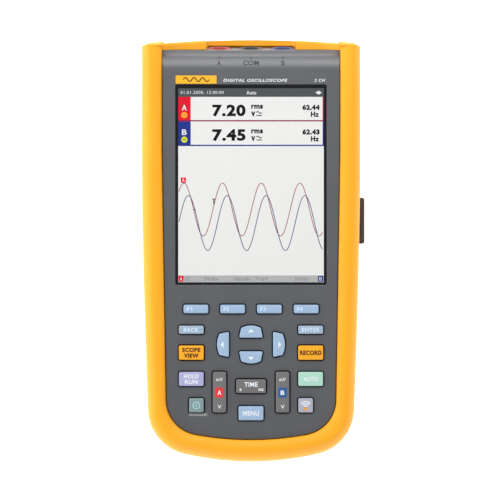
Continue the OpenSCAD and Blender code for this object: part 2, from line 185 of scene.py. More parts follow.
# Circuit board: green resist over copper tracks in two directions, with plated holes
def circuitBoard(name):
    recipe = Recipe(bpy.data.materials.new(name))
    tracks = recipe.add("TexBrick", {"offset": 0.37}, {
        "Vector": recipe.place(), "Scale": 210.0, "Mortar Size": 0.09, "Brick Width": 0.9, "Row Height": 0.22,
        "Color1": tone(28, 96, 62), "Color2": tone(24, 84, 56), "Mortar": tone(70, 140, 88)})
    dots = recipe.add("TexVoronoi", {"feature": "F1"}, {"Vector": recipe.place(), "Scale": 330.0})
    holes = recipe.add("Math", {"operation": "LESS_THAN"}, {0: dots, 1: 0.16})
    surface = recipe.mix(holes, tracks, tone(208, 190, 128))
    return recipe.finish(Base_Color=surface, Roughness=holes * -0.1 + 0.42, Metallic=holes * 0.9,
                         Normal=recipe.bump(holes, 0.03 * mm))


materials = {
    "holster": moulded("holsterRubber", tone(246, 168, 26), 0.55, grain=0.6, depth=0.02, cloud=0.02,
                       shine=0.35),
    "cover": moulded("coverRubber", tone(240, 162, 24), 0.5, grain=0.6, depth=0.02, cloud=0.02),
    "panel": moulded("frontPanel", tone(80, 82, 86), 0.42, grain=0.35, depth=0.01, cloud=0.03, shine=0.9),
    "rearCase": moulded("rearPanel", tone(60, 61, 64), 0.55, grain=0.5, depth=0.02, cloud=0.04),
    "gasket": moulded("gasketRubber", tone(28, 28, 29), 0.7, grain=0.8),
    "window": displayLayer("windowBlack", tone(22, 23, 27)),
    "jackRed": moulded("jackRed", tone(160, 56, 54), 0.6, grain=0.3, depth=0.004),
    "jackBlack": moulded("jackBlack", tone(26, 26, 28), 0.5, grain=0.3, depth=0.004),
    "jackBlue": moulded("jackBlue", tone(54, 62, 112), 0.6, grain=0.3, depth=0.004),
    "stand": moulded("standPlastic", tone(58, 59, 62), 0.5, grain=0.5, depth=0.018),
    "strap": moulded("strapPlastic", tone(66, 64, 61), 0.5, grain=0.5, depth=0.018),
    "mat": moulded("keypadMat", tone(38, 40, 46), 0.65),
    "block": moulded("socketBlock", tone(54, 55, 58), 0.5),
    "chips": moulded("chipResin", tone(36, 36, 38), 0.6, grain=0.2),
    "battery": moulded("batteryWrap", tone(46, 50, 58), 0.4, cloud=0.08),
    "flex": moulded("flexCircuit", tone(190, 128, 48), 0.35, grain=0.3),
    "display": displayLayer("displayGlass", tone(200, 204, 203)),
    "board": circuitBoard("circuitBoard"),
    "steel": brushedMetal("brushedSteel", (0.62, 0.62, 0.63, 1.0), 0.34, "y"),
    "screw": brushedMetal("platedScrew", (0.56, 0.56, 0.57, 1.0), 0.3, "x"),
    "contact": brushedMetal("platedContact", (0.80, 0.62, 0.30, 1.0), 0.26, "y"),
    "radio": brushedMetal("radioCan", (0.45, 0.50, 0.55, 1.0), 0.4, "x"),
    "namePlate": moulded("namePlate", tone(246, 176, 34), 0.38, grain=0.4, depth=0.004, cloud=0.02),
}
keyTones = {
    "Blue": (150, 176, 205), "Steel": (152, 170, 190), "Arrow": (152, 177, 205), "Yellow": (238, 164, 20),
    "Lavender": (164, 166, 204), "Mint": (166, 208, 192), "Teal": (122, 144, 146), "Pale": (164, 166, 182),
    "Grey": (108, 106, 107),
}
for shade, values in keyTones.items():
    name = "key" + shade
    materials[name] = moulded(name, tone(*values), 0.5, grain=0.3, depth=0.006, cloud=0.02)
inkTones = {
    "white": (222, 228, 232), "soft": (196, 218, 236), "brown": (84, 34, 8), "dark": (52, 53, 57),
    "light": (138, 142, 142), "cyan": (160, 205, 208), "amber": (226, 150, 40), "red": (212, 52, 56),
    "blue": (40, 88, 150), "wave": (96, 62, 10),
}
# Colours of the screen's picture, and how much each glows
screenTones = {
    "lcdField": ((214, 215, 213), 0.05), "lcdBar": ((72, 77, 80), 0.02), "lcdFoot": ((162, 163, 163), 0.05),
    "lcdBlack": ((18, 18, 20), 0.0), "lcdGrey": ((110, 112, 114), 0.0), "lcdPale": ((206, 208, 208), 0.1),
    "lcdRed": ((204, 22, 44), 0.06), "lcdCrimson": ((140, 30, 66), 0.05), "lcdNavy": ((34, 48, 128), 0.05),
    "lcdOrange": ((240, 150, 30), 0.1), "lcdLime": ((190, 196, 40), 0.1), "traceRed": ((150, 62, 62), 0.0),
    "traceBlue": ((58, 62, 112), 0.0),
}
inks = {name: ink("ink" + name.capitalize(), tone(*values)) for name, values in inkTones.items()}
for name, (values, glow) in screenTones.items():
    inks[name] = displayLayer(name, tone(*values), glow)
print("materials made:", len(materials) + len(inks))


# Outlines, all counter-clockwise

def arc(centre, radius, start, end, steps):
    turns = [math.radians(start + (end - start) * i / steps) for i in range(steps + 1)]
    return [(centre[0] + radius * math.cos(t), centre[1] + radius * math.sin(t)) for t in turns]


holsterLow, holsterHigh = boxMm("holster")
caseLow, caseHigh = boxMm("rear_case")
faceTop = boxMm("front_case")[1].z
rimTop = holsterHigh.z
sideTop = 60  # the sides widen from the foot's corners up to this y
# Half widths at the head and at the foot, corner and foot radii, ends, head corner and arch, side bend
holsterShape = {"top": holsterHigh.x, "low": holsterHigh.x - 3.7, "corner": 28, "foot": holsterLow.y,
                "footRadius": 178, "head": holsterHigh.y, "headCorner": 6, "arch": 595, "bend": 1.6}
caseShape = {"top": caseHigh.x, "low": caseHigh.x - 2, "corner": 22, "foot": caseLow.y,
             "footRadius": 131, "head": caseHigh.y, "headCorner": 3, "arch": 9000, "bend": 1}
faceShape = {"top": 52.7, "low": 50.3, "corner": 21, "foot": -112,
             "footRadius": 182, "head": 121, "headCorner": 1, "arch": 9000, "bend": 1}


def outline(shape, inset=0.0):  # starts and ends just off the middle line, so that no two points meet
    footMiddle = shape["foot"] + shape["footRadius"]
    cornerX = shape["low"] - shape["corner"]
    cornerY = footMiddle - math.sqrt((shape["footRadius"] - shape["corner"]) ** 2 - cornerX ** 2)
    meet = math.degrees(math.atan2(cornerY - footMiddle, cornerX))
    headX = shape["top"] - shape["headCorner"]
    headY = shape["head"] - headX ** 2 / (2 * shape["arch"]) - shape["headCorner"]
    half = arc((0, footMiddle), shape["footRadius"] - inset, -89.8, meet, 14)
    half += arc((cornerX, cornerY), shape["corner"] - inset, meet, 0, 22)[1:]
    for i in range(1, 13):
        t = i / 12
        spread = (shape["top"] - shape["low"]) * (1 - (1 - t) ** shape["bend"])
        half.append((shape["low"] - inset + spread, cornerY + (sideTop - cornerY) * t))
    half += arc((headX, headY), max(shape["headCorner"] - inset, 0.3), 0, 86, 8)
    for i in range(9, -1, -1):
        x = headX * max(i, 0.02) / 10
        half.append((x, shape["head"] - x ** 2 / (2 * shape["arch"]) - inset))
    return half + [(-x, y) for x, y in reversed(half)]


def roundedRect(wide, tall, radius, steps=6):
    x, y = wide / 2 - radius, tall / 2 - radius
    return (arc((x, y), radius, 0, 90, steps) + arc((-x, y), radius, 90, 180, steps)
            + arc((-x, -y), radius, 180, 270, steps) + arc((x, -y), radius, 270, 360, steps))


arrowShape = {"corner": 0.9, "taper": 0.95, "bow": 1.15}


# An arrow key that points up: narrower and bowed at its outer edge
def arrowOutline(wide, tall, inset=0.0):
    w, h = wide / 2 - inset, tall / 2 - inset
    radius = max(arrowShape["corner"] - inset, 0.2)
    lower = arc((w - radius, -h + radius), radius, 270, 356, 5)
    upper = arc((w - arrowShape["taper"] - radius, h - arrowShape["bow"] - radius), radius, 8, 72, 5)
    reach, shoulder = upper[-1]
    bow = []
    for i in range(1, 12):
        t = 1 - i / 6
        bow.append((reach * t, h - (h - shoulder) * t * t))
    left = [(-x, y) for x, y in reversed(lower + upper)]
    return lower + upper + bow + left


def turned(points, degrees):
    c, s = math.cos(math.radians(degrees)), math.sin(math.radians(degrees))
    return [(x * c - y * s, x * s + y * c) for x, y in points]


def ring(points, z, centre=(0, 0)):
    return [(x + centre[0], y + centre[1], z) for x, y in points]


# Meshes

# A skin through rings of equal count: capped at both ends, or closed by joining the last ring to the first
def loft(rings, closed=False):
    count = len(rings[0])
    points = [point for one in rings for point in one]
    faces = [] if closed else [tuple(reversed(range(count))), tuple(range(len(points) - count, len(points)))]
    for k in range(len(rings) if closed else len(rings) - 1):
        m = (k + 1) % len(rings)
        for i in range(count):
            j = (i + 1) % count
            faces.append((k * count + i, k * count + j, m * count + j, m * count + i))
    return points, faces


def makeObject(name, points, faces):
    mesh = bpy.data.meshes.new(name)
    mesh.from_pydata([Vector(point) * mm for point in points], [], faces)
    work = bmesh.new()
    work.from_mesh(mesh)
    bmesh.ops.recalc_face_normals(work, faces=work.faces)
    work.to_mesh(mesh)
    work.free()
    piece = bpy.data.objects.new(name, mesh)
    scene.collection.objects.link(piece)
    return piece


# Cuts other shapes out of a piece, or joins them to it, and keeps the result as a plain mesh
def carve(piece, cutters, operation="DIFFERENCE"):
    for cutter in cutters:
        step = piece.modifiers.new("cut", "BOOLEAN")
        step.operation = operation
        step.solver = "MANIFOLD"
        step.object = cutter
    bpy.context.view_layer.update()
    shaped = piece.evaluated_get(bpy.context.evaluated_depsgraph_get())
    mesh = bpy.data.meshes.new_from_object(shaped)
    piece.modifiers.clear()
    piece.data = mesh
    for cutter in cutters:
        bpy.data.objects.remove(cutter)


def smooth(piece, angle):
    piece.data.polygons.foreach_set("use_smooth", [True] * len(piece.data.polygons))
    piece.data.set_sharp_from_angle(angle=math.radians(angle))
    level = piece.modifiers.new("flatFaces", "WEIGHTED_NORMAL")
    level.keep_sharp = True


def settle(piece, body, material, nodes=()):
    piece.data.materials.clear()
    piece.data.materials.append(material)
    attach(piece, body)
    if nodes:
        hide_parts(*nodes)


# The axes across, along and out, for a shape that faces each way
axisOrder = {"x": (1, 2, 0), "y": (2, 0, 1), "z": (0, 1, 2)}


# Skin through rounded rectangles that face an axis: how far each is inset, and where it stands on that axis
def boxSkin(name, low, high, radius, axis, levels):
    a, b, _ = axisOrder[axis]
    middle = ((low[a] + high[a]) / 2, (low[b] + high[b]) / 2)
    rings = []
    for inset, z in levels:
        wide, tall = high[a] - low[a] - 2 * inset, high[b] - low[b] - 2 * inset
        rings.append(ring(roundedRect(wide, tall, max(radius - inset, 0.15)), z, middle))
    points, faces = loft(rings)
    if axis == "x":
        points = [(z, x, y) for x, y, z in points]
    elif axis == "y":
        points = [(y, z, x) for x, y, z in points]
    return makeObject(name, points, faces)


# Cutter with square edges; flare rounds its mouth outwards
def roundedBlock(name, low, high, radius, axis="z", flare=0.0):
    out = axisOrder[axis][2]
    levels = [(0, low[out])]
    if flare:
        for i in range(5):
            t = math.radians(90 * i / 4)
            levels.append((-flare * (1 - math.cos(t)), high[out] - flare + flare * math.sin(t)))
    levels.append((-flare, high[out] + 1 if flare else high[out]))
    return boxSkin(name, low, high, radius, axis, levels)


def softBox(name, low, high, radius, edge, axis="z"):  # block with rounded edges round both faces
    out = axisOrder[axis][2]
    turns = [math.radians(90 * i / 4) for i in range(5)]
    levels = [(edge * (1 - math.sin(t)), low[out] + edge * (1 - math.cos(t))) for t in turns]
    levels += [(edge * (1 - math.cos(t)), high[out] - edge * (1 - math.sin(t))) for t in turns]
    return boxSkin(name, low, high, radius, axis, levels)


# Round bar of a hinge, from end to end along x or y
def hingeBarrel(middle, radius, ends, axis, steps):
    turns = [2 * math.pi * i / steps for i in range(steps)]
    circle = [(middle[0] + radius * math.cos(a), middle[1] + radius * math.sin(a)) for a in turns]
    if axis == "x":
        rings = [[(end, p, q) for p, q in circle] for end in ends]
    else:
        rings = [[(p, end, q) for p, q in circle] for end in ends]
    return makeObject("barrel", *loft(rings))


def dress(material, nodes):  # a carried-over CAD node keeps its shape and takes a better material
    for node in nodes:
        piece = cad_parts[node]
        if not piece.material_slots:
            piece.data.materials.append(material)
        for place in piece.material_slots:
            place.link = "OBJECT"
            place.material = material


# Printed marks: flat shapes gathered by body and ink

marks = {}
lift = 0.03  # how far print stands off a surface


def addMark(body, shade, points, faces):
    held = marks.setdefault((body, shade), ([], []))
    start = len(held[0])
    held[0].extend(points)
    held[1].extend(tuple(start + i for i in face) for face in faces)


def flat(level):
    return lambda x, y: level


def above(height):
    return lambda x, y: height(x, y) + lift


# Cuts a flat shape into strips both ways, so that it can follow a curved surface
def conform(points, faces, surface, pitch=0.6):
    mesh = bpy.data.meshes.new("flat")
    mesh.from_pydata([(x, y, 0) for x, y in points], [], faces)
    work = bmesh.new()
    work.from_mesh(mesh)
    for axis, way in ((0, (1, 0, 0)), (1, (0, 1, 0))):
        spots = [point[axis] for point in points]
        for i in range(1, int((max(spots) - min(spots)) / pitch) + 1):
            spot = [0, 0, 0]
            spot[axis] = min(spots) + pitch * i
            parts = work.verts[:] + work.edges[:] + work.faces[:]
            bmesh.ops.bisect_plane(work, geom=parts, plane_co=spot, plane_no=way)
    work.verts.ensure_lookup_table()
    shaped = [(v.co.x, v.co.y, surface(v.co.x, v.co.y)) for v in work.verts]
    sides = [tuple(v.index for v in face.verts) for face in work.faces]
    work.free()
    bpy.data.meshes.remove(mesh)
    return shaped, sides


# Lays a flat shape on a surface; curved lets it bend with the surface between its points too
def lay(body, shade, points, faces, surface, curved):
    if curved:
        addMark(body, shade, *conform(points, faces, surface))
    else:
        addMark(body, shade, [(x, y, surface(x, y)) for x, y in points], faces)


def plate(body, shade, points, surface, curved=False):
    lay(body, shade, points, [tuple(range(len(points)))], surface, curved)


def rectangle(left, low, right, high):
    return [(left, low), (right, low), (right, high), (left, high)]


# Ribbon of one width along a line of points
def ribbon(body, shade, line, width, surface):
    left, right = [], []
    for i, (x, y) in enumerate(line):
        before, after = line[max(i - 1, 0)], line[min(i + 1, len(line) - 1)]
        run = Vector((after[0] - before[0], after[1] - before[1])).normalized() * width / 2
        left.append((x - run.y, y + run.x))
        right.append((x + run.y, y - run.x))
    points = [(x, y, surface(x, y)) for x, y in left + right]
    n = len(line)
    addMark(body, shade, points, [(i, n + i, n + i + 1, i + 1) for i in range(n - 1)])


# Lettering fitted to a box of the given middle, width and height
def lettering(body, shade, words, middle, wide, tall, surface, weight=0.012, slant=0.0, curved=False):
    curve = bpy.data.curves.new("words", "FONT")
    curve.body = words
    curve.offset = weight
    curve.shear = slant
    curve.space_character = 1.1
    curve.resolution_u = 3
    holder = bpy.data.objects.new("words", curve)
    scene.collection.objects.link(holder)
    bpy.context.view_layer.update()
    mesh = bpy.data.meshes.new_from_object(holder.evaluated_get(bpy.context.evaluated_depsgraph_get()))
    xs = [v.co.x for v in mesh.vertices]
    ys = [v.co.y for v in mesh.vertices]
    points = []
    for v in mesh.vertices:
        x = middle[0] + ((v.co.x - min(xs)) / (max(xs) - min(xs)) - 0.5) * wide
        y = middle[1] + ((v.co.y - min(ys)) / (max(ys) - min(ys)) - 0.5) * tall
        points.append((x, y))
    lay(body, shade, points, [tuple(face.vertices) for face in mesh.polygons], surface, curved)
    bpy.data.objects.remove(holder)
    bpy.data.meshes.remove(mesh)


# Holster

# Insets are from the outline, levels from the bench
holster = {
    "backInset": 5.6, "backRound": 9, "sideInsets": ((13, 0.0), (20, 0.0), (30, 0.0), (37, 0.15), (42, 0.45)),
    "leanFrom": 13, "lean": 0.105, "headLean": 0.4, "headFloor": 122.0,
    "shoulderFrom": 45, "shoulderInset": 0.8, "shoulder": 7.2,
    "rimDip": 1.9, "dipCurve": 2.2, "lipDrop": 0.9, "narrowRim": 4, "lipLow": 48.0, "gap": 0.35,
}
# The room for the case: level, and how far it reaches at the input end
caseRoom = ((5.6, 123.7), (27.8, 123.7), (28, 123.35), (48.4, 119.3))
# The wall across the input end, between the posts, which it rises to meet
endWall = {"top": 41, "post": 53.05, "blend": 11.0, "rise": 4.5, "outerY": 129.6, "foot": 12, "lean": 0.09,
           "edge": 2, "edgeDrop": 1.7}
# Openings: two corners, corner radius and the axis that they face
holsterOpenings = {
    "socketGap": ((-27, 117, 24), (27, 140, 62), 3, "y"),
    "recess": ((-26.4, 117, 22.4), (26.4, 125.0, 62), 1.5, "z"),
    "standGap": ((-38.6, -62, -2), (38.6, 46, 7), 4, "z"),
    "portGap": ((-70, 33, 22), (-57, 77, 41), 2, "x"),
    "strapGap": ((60.2, 1.1, 12), (72, 35.4, 42), 5, "x"),
}


# One outline of the holster: leans in with height, and keeps outside the rim's inner edge at the input end
def holsterOutline(inset, z):
    lean = holster["lean"] * max(0, z - holster["leanFrom"])
    shape = dict(holsterShape, foot=holsterLow.y + lean, head=holsterHigh.y - holster["headLean"] * lean)
    floor = holster["headFloor"]
    return ring([(x, max(y, floor) if y > floor - 10 else y) for x, y in outline(shape, inset)], z)


def holsterRings():
    rings = []
    for i in range(7):  # back edge
        t = math.radians(90 * i / 6)
        inset = holster["backInset"] * (1 - math.sin(t))
        rings.append(holsterOutline(inset, holster["backRound"] * (1 - math.cos(t))))
    for z, inset in holster["sideInsets"]:
        rings.append(holsterOutline(inset, z))
    start, low = holster["shoulderInset"], holster["shoulderFrom"]
    for i in range(11):  # outer shoulder of the rim
        t = math.radians(90 * i / 10)
        inset = start + (holster["shoulder"] - start) * (1 - math.cos(t))
        rings.append(holsterOutline(inset, low + (rimTop - low) * math.sin(t)))
    crest = rings[-1]
    inner = outline(faceShape, -holster["gap"])
    for i in range(1, 13):  # crown of the rim, falling to a rounded lip in its last third
        bend = math.radians(90 * max(0, i - 8) / 4)
        share = i / 12 if i < 9 else 0.75 + 0.25 * math.sin(bend)
        drop = holster["rimDip"] * share ** holster["dipCurve"] + holster["lipDrop"] * (1 - math.cos(bend))
        one = []
        for a, b in zip(crest, inner):  # falls less where the rim is narrow, at the input end
            across, along = b[0] - a[0], b[1] - a[1]
            fall = drop * min(1.0, math.hypot(across, along) / holster["narrowRim"])
            one.append((a[0] + across * share, a[1] + along * share, rimTop - fall))
        rings.append(one)
    rings.append(ring(inner, holster["lipLow"]))
    return rings


# Cutter over the wall across the input end: flat top, rounded edge, slanted outer face
def makeWallCutter():
    post, blend, edge, foot = endWall["post"], endWall["blend"], endWall["edge"], endWall["foot"]
    rings = []
    for i in range(-24, 25):
        x = post * math.sin(math.radians(90 * i / 24))
        near = max(0.0, abs(x) - post + blend) / blend
        top = endWall["top"] + endWall["rise"] * near * near * (1.6 - 0.6 * near)
        outer = endWall["outerY"] - x * x / (2 * holsterShape["arch"])
        edgeY = outer - endWall["lean"] * (top - foot) - edge
        profile = [(108, top), (edgeY, top)]
        for t in (0.4, 0.8, 1.2):
            profile.append((edgeY + edge * math.sin(t), top - endWall["edgeDrop"] * (1 - math.cos(t))))
        profile += [(outer, foot), (131, 6), (142, 6), (142, 62), (108, 62)]
        rings.append([(x, y, z) for y, z in profile])
    return makeObject("wallCut", *loft(rings))


def makeHolster():
    shell = makeObject("holsterShell", *loft(holsterRings()))
    room = [ring([(x, min(y, reach)) for x, y in outline(caseShape, -0.3)], z) for z, reach in caseRoom]
    cutters = [makeObject("cavity", *loft(room)), makeWallCutter()]
    cutters += [roundedBlock(name, *opening) for name, opening in holsterOpenings.items()]
    carve(shell, cutters)
    smooth(shell, 34)
    settle(shell, "instrument", materials["holster"], ["holster"])
    print("holster made:", len(shell.data.polygons), "faces")


makeHolster()

# Keys

keyShades = {
    "key_f1": "Blue", "key_f2": "Blue", "key_f3": "Blue", "key_f4": "Blue", "key_back": "Steel",
    "key_enter": "Steel", "key_scope": "Yellow", "key_record": "Yellow", "key_hold": "Lavender",
    "key_auto": "Mint", "key_power": "Teal", "key_wireless": "Pale", "key_menu": "Blue", "rocker_a": "Grey",
    "rocker_b": "Grey", "rocker_time": "Grey",
    "key_up": "Arrow", "key_left": "Arrow", "key_down": "Arrow", "key_right": "Arrow",
}
arrowTurns = {"key_up": 0, "key_left": 90, "key_down": 180, "key_right": 270}
# The flange lies hidden under the face; play is the gap round a key, and lead the opening's rounded edge
keyShape = {"flange": 1.2, "corner": 0.9, "edge": 0.55, "crown": 0.22, "skirt": 48.7,
            "play": 0.7, "lead": 0.2}


def keyPlace(node):  # middle, width and height of a key's cap
    low, high = boxMm(node)
    margin = 2 * keyShape["flange"]
    return ((low.x + high.x) / 2, (low.y + high.y) / 2), high.x - low.x - margin, high.y - low.y - margin


def capOutline(node, grow=0.0):
    _, wide, tall = keyPlace(node)
    if node in arrowTurns:
        turn = arrowTurns[node]
        across, deep = (wide, tall) if turn % 180 == 0 else (tall, wide)
        return turned(arrowOutline(across, deep, -grow), turn)
    return roundedRect(wide + 2 * grow, tall + 2 * grow, max(keyShape["corner"] + grow, 0.2))


crowns = {}


def crownHeight(node):  # height of a key's crowned top at a point
    top = boxMm(node)[1].z

    def height(x, y):
        struck = crowns[node].ray_cast(Vector((x, y, top + 5)) * mm, Vector((0, 0, -1)))[0]
        return struck.z / mm if struck else top
    return height


def makeKey(node, shade):
    centre, _, _ = keyPlace(node)
    top = boxMm(node)[1].z
    edge, crown = keyShape["edge"], keyShape["crown"]
    rings = [ring(capOutline(node), keyShape["skirt"], centre)]
    for i in range(6):
        t = math.radians(90 * i / 5)
        z = top - crown - edge + edge * math.sin(t)
        rings.append(ring(capOutline(node, -edge * (1 - math.cos(t))), z, centre))
    inner = capOutline(node, -edge)
    for i in range(1, 8):
        u = i / 8
        shrunk = [(x * (1 - u), y * (1 - u)) for x, y in inner]
        rings.append(ring(shrunk, top - crown * (1 - u) ** 2, centre))
    piece = makeObject(node + "Cap", *loft(rings))
    mesh = piece.data
    crowns[node] = BVHTree.FromPolygons([v.co for v in mesh.vertices], [f.vertices for f in mesh.polygons])
    smooth(piece, 50)
    settle(piece, node, materials["key" + shade], [node])


for node, shade in keyShades.items():
    makeKey(node, shade)
print("keys made:", len(keyShades))

# Words on the keys: width, height, ink, place from the key's middle, and added weight
keyLegends = (
    *[("key_f" + digit, "F" + digit, 3.3, 2.3, "soft", (-3.7, 0), 0.03) for digit in "1234"],
    ("key_back", "BACK", 9.0, 2.5, "soft", (0, 0), 0.03),
    ("key_enter", "ENTER", 10.6, 2.5, "soft", (0, 0), 0.03),
    ("key_scope", "SCOPE", 10.8, 2.6, "brown", (0, 1.7), 0.05),
    ("key_scope", "VIEW", 8.8, 2.6, "brown", (0, -1.7), 0.05),
    ("key_record", "RECORD", 12.8, 2.8, "brown", (0, 0), 0.05),
    ("key_hold", "HOLD", 8.8, 2.5, "white", (0, 1.7), 0.03),
    ("key_hold", "RUN", 7.6, 2.5, "white", (0, -1.7), 0.03),
    ("key_auto", "AUTO", 8.6, 2.5, "white", (0, 0), 0.03),
    ("key_menu", "MENU", 9.6, 2.9, "white", (0, 0), 0.03),
    ("rocker_time", "TIME", 7.8, 2.8, "white", (0, 1.1), 0.03),
    ("rocker_time", "s", 1.2, 1.5, "white", (-6.2, -2.0), 0.03),
    ("rocker_time", "ns", 2.9, 1.5, "white", (5.9, -2.0), 0.03),
)
# Each channel's rocker: the ink of its tag, and its letter
rockerTags = {"rocker_a": ("red", "A"), "rocker_b": ("blue", "B")}


def keyWords(node, words, wide, tall, shade, shift, weight):
    (x, y), _, _ = keyPlace(node)
    place = (x + shift[0], y + shift[1])
    lettering(node, shade, words, place, wide, tall, above(crownHeight(node)), weight, curved=True)


for legend in keyLegends:
    keyWords(*legend)
for node, (shade, letter) in rockerTags.items():
    (x, y), _, _ = keyPlace(node)
    height = above(crownHeight(node))
    tag = [(x + px, y + py) for px, py in rectangle(-2.55, -3.2, 2.55, 2.7)]
    plate(node, shade, tag, height, curved=True)
    lettering(node, "white", letter, (x, y - 0.25), 2.3, 2.7, above(height), 0.03, curved=True)
    keyWords(node, "mV", 3.8, 2.1, "white", (0, 7.6), 0.02)
    keyWords(node, "V", 2.3, 2.2, "white", (0, -8.6), 0.02)


arrowMark = {"half": 1.9, "base": -0.35, "tip": 1.45}  # towards the way that the arrow points


def arrowMarks():
    half, base, tip = arrowMark["half"], arrowMark["base"], arrowMark["tip"]
    for node, turn in arrowTurns.items():
        (x, y), _, _ = keyPlace(node)
        shape = [(x + px, y + py) for px, py in turned([(-half, base), (half, base), (0.0, tip)], turn)]
        plate(node, "white", shape, above(crownHeight(node)), curved=True)


def powerMark():  # a ring round a short stroke
    (x, y), _, _ = keyPlace("key_power")
    height = above(crownHeight("key_power"))
    ribbon("key_power", "cyan", arc((x, y), 2.0, 0, 360, 40), 0.55, height)
    ribbon("key_power", "cyan", [(x, y - 0.9), (x, y + 0.9)], 0.6, height)


def wirelessMark():  # three arcs over a dot
    (x, y), _, _ = keyPlace("key_wireless")
    height = above(crownHeight("key_wireless"))
    for radius in (1.6, 2.8, 4.0):
        ribbon("key_wireless", "white", arc((x, y - 1.7), radius, 45, 135, 14), 0.6, height)
    plate("key_wireless", "amber", arc((x, y - 2.0), 1.05, 0, 345, 23), height, curved=True)


arrowMarks()
powerMark()
wirelessMark()

# Front case

front = {
    "shoulder": 48.0, "foot": 28.0, "edge": 0.7, "wall": 2.5, "interiorHead": 104,
    "rollStart": 107.5, "rollRadius": 15.4, "rollAngle": 31.7, "coveMiddle": (116.8, 45.9),
    "endTop": (119.9, 44.6), "endLow": (123.25, 27.7), "windowGap": 0.2, "windowLedge": 1, "socketGap": 0.25,
}


def rollHeight(x, y):  # height of the face, which rolls over towards the input end
    past = y - front["rollStart"]
    if past <= 0:
        return faceTop
    angle = math.asin(min(past / front["rollRadius"], 0.99))
    return faceTop - front["rollRadius"] * (1 - math.cos(angle))


def makeEndCutter():  # leaves the rolled edge, then a hollow curve, then the face of the input end
    start, r, turn = front["rollStart"], front["rollRadius"], math.radians(front["rollAngle"])
    profile = []
    for i in range(13):
        t = turn * i / 12
        profile.append((start + r * math.sin(t), faceTop - r * (1 - math.cos(t))))
    corners = list(zip(profile[-1], front["coveMiddle"], front["endTop"]))
    for i in range(1, 13):
        t = i / 12
        profile.append(tuple((1 - t) ** 2 * a + 2 * t * (1 - t) * b + t * t * c for a, b, c in corners))
    profile += [front["endLow"], (130, front["endLow"][1]), (130, 62), (start, 62)]
    return makeObject("endCut", *loft([[(x, y, z) for y, z in profile] for x in (-62, 62)]))


def keyHoleCutter(node):
    centre, _, _ = keyPlace(node)
    play, lead = keyShape["play"], keyShape["lead"]
    levels = [(play, 44), (play, faceTop - lead)]
    for t in (math.radians(30), math.radians(60)):
        levels.append((play + lead * (1 - math.cos(t)), faceTop - lead * (1 - math.sin(t))))
    levels += [(play + lead, faceTop + 0.01), (play + lead, faceTop + 2)]
    return makeObject("hole", *loft([ring(capOutline(node, grow), z, centre) for grow, z in levels]))


def makeInsideCutter():
    reach, wall = front["interiorHead"], front["wall"]
    rings = []
    for shape, z, head in ((caseShape, 27, reach), (caseShape, 45.5, reach), (faceShape, 45.6, reach - 0.1),
                           (faceShape, 50, reach - 0.1)):
        rings.append(ring([(x, min(y, head)) for x, y in outline(shape, wall)], z))
    return makeObject("inside", *loft(rings))


def makeWindowCutters():  # a seat that the window lies in, and the hole under it
    low, high = boxMm("screen_window")
    gap, ledge = front["windowGap"], front["windowLedge"]
    seat = roundedBlock("windowSeat", (low.x - gap, low.y - gap, low.z),
                        (high.x + gap, high.y + gap, faceTop), 1.2, flare=0.25)
    hole = roundedBlock("windowHole", (low.x + ledge, low.y + ledge, 49),
                        (high.x - ledge, high.y - ledge, 52), 1)
    return [seat, hole]


def makeSocketCutter(node):
    low, high = boxMm(node)
    radius = (high.x - low.x) / 2 + front["socketGap"]
    hole = arc(((low.z + high.z) / 2, (low.x + high.x) / 2), radius, 0, 353, 50)
    return makeObject("socketHole", *loft([[(px, y, pz) for pz, px in hole] for y in (110, 132)]))


def makeFrontCase():
    shoulder, edge = front["shoulder"], front["edge"]
    rings = [ring(outline(caseShape), front["foot"]), ring(outline(caseShape), shoulder - 0.8),
             ring(outline(caseShape, 0.3), shoulder - 0.2), ring(outline(caseShape, 1.0), shoulder),
             ring(outline(faceShape), shoulder + 0.01)]
    for i in range(6):
        t = math.radians(90 * i / 5)
        rings.append(ring(outline(faceShape, edge * (1 - math.cos(t))), faceTop - edge * (1 - math.sin(t))))
    body = makeObject("frontPanel", *loft(rings))
    cutters = [makeEndCutter(), makeInsideCutter()]
    cutters.append(roundedBlock("endRoom", (-52, 102, 27), (52, 117.5, 42.4), 1))
    cutters += makeWindowCutters()
    cutters += [makeSocketCutter(node) for node in ("jack_a", "jack_com", "jack_b")]
    cutters.append(roundedBlock("portHole", (-62, 37.5, 26), (-50, 76, 37.6), 0.8, "x"))
    cutters += [keyHoleCutter(node) for node in keyShades]
    carve(body, cutters)
    smooth(body, 30)
    settle(body, "instrument", materials["panel"], ["front_case"])
    print("front case made:", len(body.data.polygons), "faces")


makeFrontCase()

# Marks on the face
onRoll = above(rollHeight)
onFace = above(flat(faceTop))
for words, x, wide in (("A", -19.05, 2.2), ("COM", 0, 9.2), ("B", 19.05, 2.0)):
    lettering("instrument", "dark", words, (x, 111.6), wide, 2.9, onRoll, 0.02, curved=True)
    plate("instrument", "dark", rectangle(x - 0.3, 114.1, x + 0.3, 115.4), onRoll)
plate("instrument", "light", [(-36.7, -98.0), (-26.4, -98.0), (-25.6, -96.5), (-36.9, -96.5)], onFace)
lettering("instrument", "white", "DIGITAL OSCILLOSCOPE", (2.6, 101.2), 38.0, 1.75, onFace, 0.02, 0.2)
lettering("instrument", "white", "2 CH", (40.8, 101.2), 6.4, 1.75, onFace, 0.02, 0.2)


def makeNamePlate():
    low, high = boxMm("name_strip")
    piece = softBox("namePlate", tuple(low), tuple(high), 0.3, 0.12)
    smooth(piece, 40)
    settle(piece, "instrument", materials["namePlate"], ["name_strip"])
    middle = (low.y + high.y) / 2
    line = []
    for i in range(61):
        x = low.x + 4.5 + (high.x - low.x - 9) * i / 60
        line.append((x, middle + 1.15 * math.sin(6 * math.pi * i / 60)))
    ribbon("instrument", "wave", line, 0.75, above(flat(high.z)))


makeNamePlate()

# Screen

windowLow, windowHigh = boxMm("screen_window")
